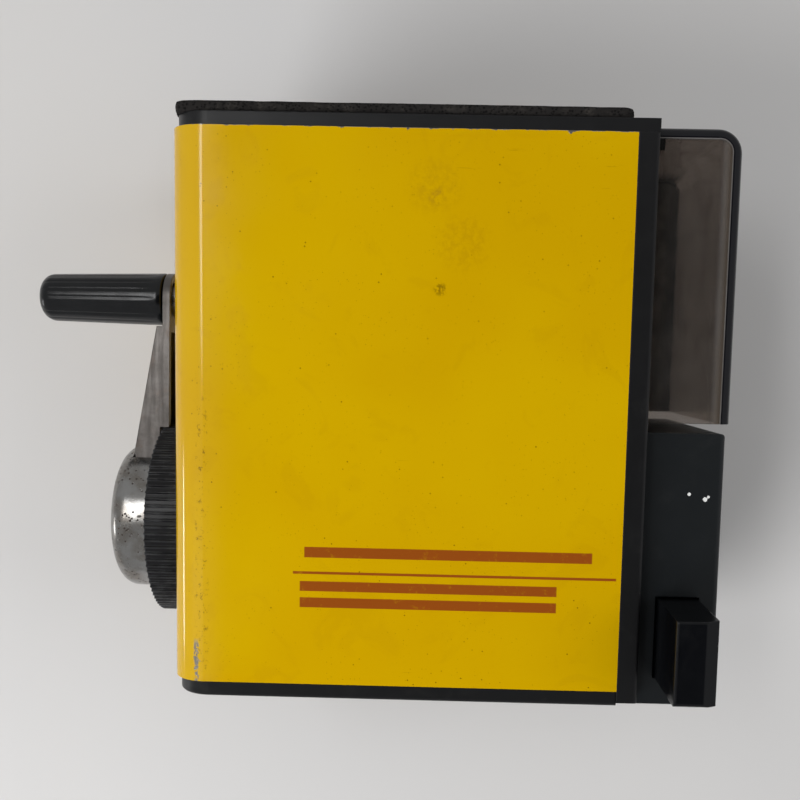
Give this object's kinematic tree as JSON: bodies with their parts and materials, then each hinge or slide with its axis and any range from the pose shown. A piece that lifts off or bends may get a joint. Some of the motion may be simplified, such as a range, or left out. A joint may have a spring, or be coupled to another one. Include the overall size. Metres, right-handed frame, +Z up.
{
  "type": "crank pencil sharpener",
  "caption": "Desk pencil sharpener: painted steel body, rear crank with geared cutter head, sliding front block with squeeze-ear jaws, and a see-through shavings drawer.",
  "frame": {"origin": "centre of the foam foot pad's underside, on the table", "axes": "+Z up, -Y towards the front where the pencil goes in, +Y towards the crank, +X across"},
  "size_m": [0.086, 0.1393, 0.1107],
  "materials": {
    "yellow_paint": "gloss enamel on pressed steel, specked and chipped",
    "black_plastic": "fine-grained moulded black",
    "foam": "worn black foam rubber",
    "smoke_plastic": "clear moulded plastic tinted smoke grey",
    "black_gloss": "polished black",
    "chrome": "bright chrome plate with pitting",
    "steel": "bare steel",
    "zinc": "die-cast, as cast",
    "brass": "turned brass",
    "nylon": "off-white nylon"
  },
  "bodies": {
    "body": {"foam_pad": "foam", "base_plate": "black_plastic", "base_screws": "steel", "body_shell": "yellow_paint", "top_cover": "black_plastic", "front_bezel": "black_plastic", "bezel_screws": "steel", "chassis": "black_plastic", "pencil_guide": "nylon", "rod_bush_right": "brass", "rod_bush_left": "brass", "feed_spring_right": "steel", "feed_spring_left": "steel"},
    "drawer": {"drawer": "smoke_plastic"},
    "carriage": {"carriage_cover": "black_plastic", "carriage_plate": "steel", "plate_screws": "steel", "entry_ring": "black_gloss", "guide_rod_right": "steel", "guide_rod_left": "steel", "rod_seats": "steel", "jaw_spring_right": "steel", "jaw_spring_left": "steel"},
    "ear_right": {"ear_right": "black_plastic", "jaw_right": "steel"},
    "ear_left": {"ear_left": "black_plastic", "jaw_left": "steel"},
    "bearing": {"bearing_ring": "black_plastic", "ring_gear": "nylon"},
    "crank": {"crank_shaft": "steel", "thrust_collar": "nylon", "crank_arm": "steel", "hub_cap": "chrome", "hub_screw": "steel", "knob_stud": "steel", "cutter_carrier": "zinc", "cutter_axle": "steel"},
    "knob": {"knob": "black_gloss"},
    "cutter": {"cutter": "steel", "pinion": "steel"}
  },
  "joints": [
    {"name": "drawer_slide", "type": "slide", "parent": "body", "child": "drawer", "axis": [0, -1, 0], "range_m": [0, 0.08]},
    {"name": "carriage_slide", "type": "slide", "parent": "body", "child": "carriage", "axis": [0, -1, 0], "range_m": [0, 0.038], "stiffness_N_per_m": 150, "springref_m": -0.012, "deforming": ["feed_spring_right", "feed_spring_left"]},
    {"name": "ear_right_slide", "type": "slide", "parent": "carriage", "child": "ear_right", "axis": [-1, 0, 0], "range_m": [0, 0.005], "stiffness_N_per_m": 400, "springref_m": -0.004, "deforming": ["jaw_spring_right"]},
    {"name": "ear_left_slide", "type": "slide", "parent": "carriage", "child": "ear_left", "axis": [1, 0, 0], "range_m": [0, 0.005], "stiffness_N_per_m": 400, "springref_m": -0.004, "deforming": ["jaw_spring_left"]},
    {"name": "bearing_turn", "type": "hinge", "parent": "body", "child": "bearing", "pos_m": [0, 0.0423, 0.0801], "axis": [0, 1, 0], "range_deg": [0, 45]},
    {"name": "crank_turn", "type": "hinge", "parent": "bearing", "child": "crank", "pos_m": [0, 0.05, 0.0801], "axis": [0, 1, 0], "continuous": true},
    {"name": "cutter_spin", "type": "hinge", "parent": "crank", "child": "cutter", "pos_m": [0, 0.022, 0.07196], "axis": [0, 0.9833, 0.1822], "continuous": true},
    {"name": "knob_spin", "type": "hinge", "parent": "crank", "child": "knob", "pos_m": [0, 0.0503, 0.0341], "axis": [0, 1, 0], "continuous": true}
  ],
  "couplings": [
    {"joint": "cutter_spin", "follows": "crank_turn", "ratio": -2.5}
  ]
}
